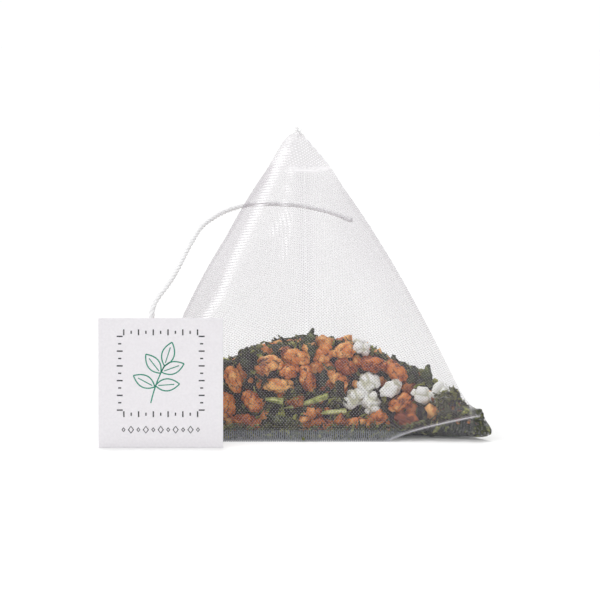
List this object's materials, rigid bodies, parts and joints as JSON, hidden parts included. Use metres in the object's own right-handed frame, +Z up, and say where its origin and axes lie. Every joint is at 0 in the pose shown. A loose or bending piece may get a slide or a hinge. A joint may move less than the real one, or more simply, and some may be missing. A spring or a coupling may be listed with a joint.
{
  "type": "tea bag",
  "caption": "Pyramid tea bag of fine woven mesh holding loose green tea with roasted and popped rice, with a string and a square paper tag.",
  "frame": {"origin": "middle of the bag's flat base, under the centre of the tetrahedron, on the surface that it stands on", "axes": "+Z up, +X to the right along the front seal, +Y from the front seal to the back corner"},
  "size_m": [0.0639, 0.0588, 0.0507],
  "materials": {
    "woven_mesh": "sheer open weave with a slight sheen",
    "cotton_string": "matt twisted thread",
    "tag_paper": "uncoated white card",
    "green_tea": "dull, rolled dry leaf",
    "roasted_rice": "dull, browned",
    "popped_rice": "dull, porous",
    "tea_stem": "dull, fibrous",
    "leaf_flake": "dull dry leaf"
  },
  "bodies": {
    "root": {"mesh_bag": "woven_mesh", "string": "cotton_string", "tag": "tag_paper", "leaf_bed": "green_tea", "roasted_rice_1": "roasted_rice", "roasted_rice_2": "roasted_rice", "roasted_rice_3": "roasted_rice", "roasted_rice_4": "roasted_rice", "roasted_rice_5": "roasted_rice", "roasted_rice_6": "roasted_rice", "roasted_rice_7": "roasted_rice", "roasted_rice_8": "roasted_rice", "roasted_rice_9": "roasted_rice", "roasted_rice_10": "roasted_rice", "roasted_rice_11": "roasted_rice", "roasted_rice_12": "roasted_rice", "roasted_rice_13": "roasted_rice", "roasted_rice_14": "roasted_rice", "roasted_rice_15": "roasted_rice", "roasted_rice_16": "roasted_rice", "roasted_rice_17": "roasted_rice", "roasted_rice_18": "roasted_rice", "roasted_rice_19": "roasted_rice", "roasted_rice_20": "roasted_rice", "roasted_rice_21": "roasted_rice", "roasted_rice_22": "roasted_rice", "roasted_rice_23": "roasted_rice", "roasted_rice_24": "roasted_rice", "roasted_rice_25": "roasted_rice", "roasted_rice_26": "roasted_rice", "roasted_rice_27": "roasted_rice", "roasted_rice_28": "roasted_rice", "roasted_rice_29": "roasted_rice", "roasted_rice_30": "roasted_rice", "roasted_rice_31": "roasted_rice", "popped_rice_1": "popped_rice", "popped_rice_2": "popped_rice", "popped_rice_3": "popped_rice", "popped_rice_4": "popped_rice", "popped_rice_5": "popped_rice", "popped_rice_6": "popped_rice", "popped_rice_7": "popped_rice", "popped_rice_8": "popped_rice", "popped_rice_9": "popped_rice", "tea_stem_1": "tea_stem", "tea_stem_2": "tea_stem", "tea_stem_3": "tea_stem", "tea_stem_4": "tea_stem", "leaf_flake_1": "leaf_flake", "leaf_flake_2": "leaf_flake", "leaf_flake_3": "leaf_flake", "leaf_flake_4": "leaf_flake", "leaf_flake_5": "leaf_flake", "leaf_flake_6": "leaf_flake", "leaf_flake_7": "leaf_flake", "leaf_flake_8": "leaf_flake", "leaf_flake_9": "leaf_flake", "leaf_flake_10": "leaf_flake", "leaf_flake_11": "leaf_flake", "leaf_flake_12": "leaf_flake"}
  },
  "joints": []
}
